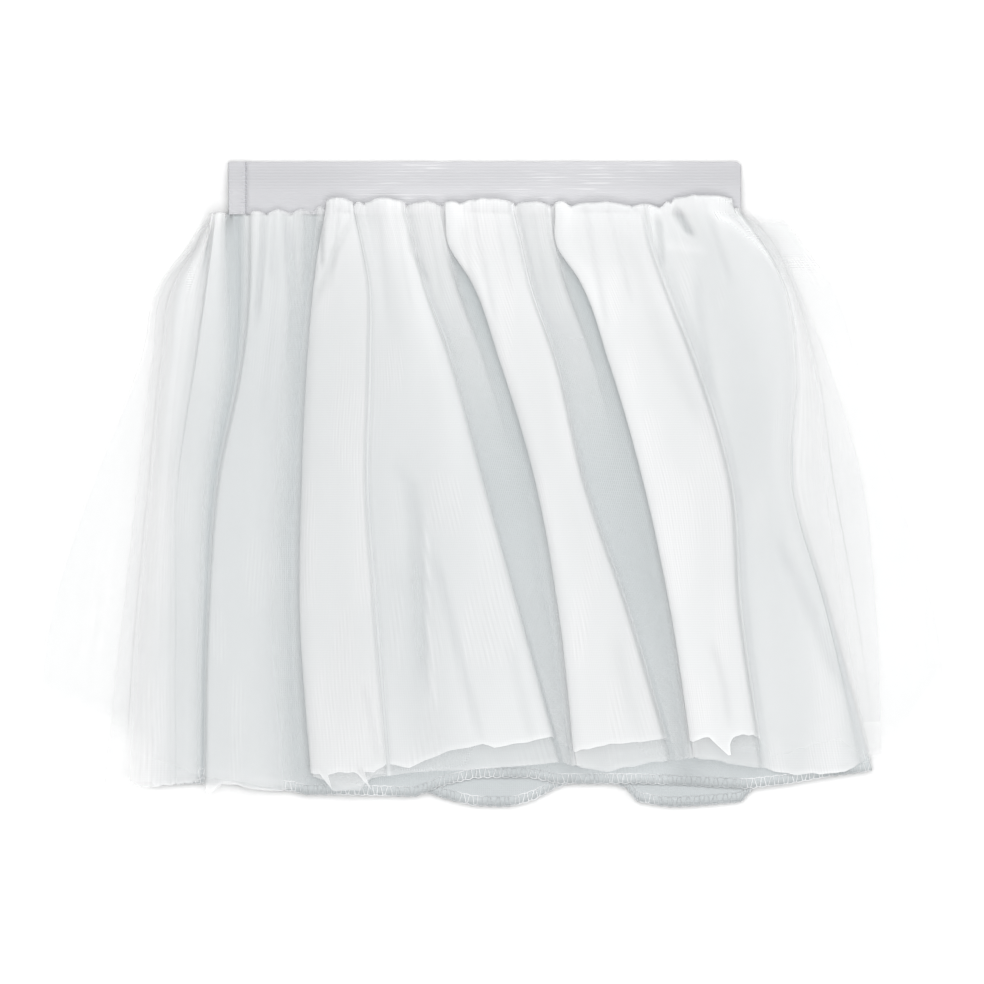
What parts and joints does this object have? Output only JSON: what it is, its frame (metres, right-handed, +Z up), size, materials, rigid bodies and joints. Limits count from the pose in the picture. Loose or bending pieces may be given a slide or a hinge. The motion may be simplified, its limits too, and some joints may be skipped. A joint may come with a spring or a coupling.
{
  "type": "ballet tutu",
  "caption": "Soft ballet tutu laid flat: ribbed elastic waistband, two gathered tulle nets standing in long folds, and a pale tricot lining whose hem shows below them.",
  "frame": {"origin": "bottom centre of the laid-out skirt's box, on the surface that it lies on", "axes": "+X to the right and +Y towards the waistband, seen from above; +Z up from the surface"},
  "size_m": [0.4606, 0.3224, 0.02],
  "materials": {
    "elastic": "fine-ribbed woven elastic, slight sheen",
    "outer_tulle": "very sheer white tulle",
    "middle_tulle": "sheer white tulle",
    "tricot": "smooth pale cool-grey tricot"
  },
  "bodies": {
    "root": {"waistband": "elastic", "outer_net": "outer_tulle", "middle_net": "middle_tulle", "lining": "tricot"}
  },
  "joints": []
}
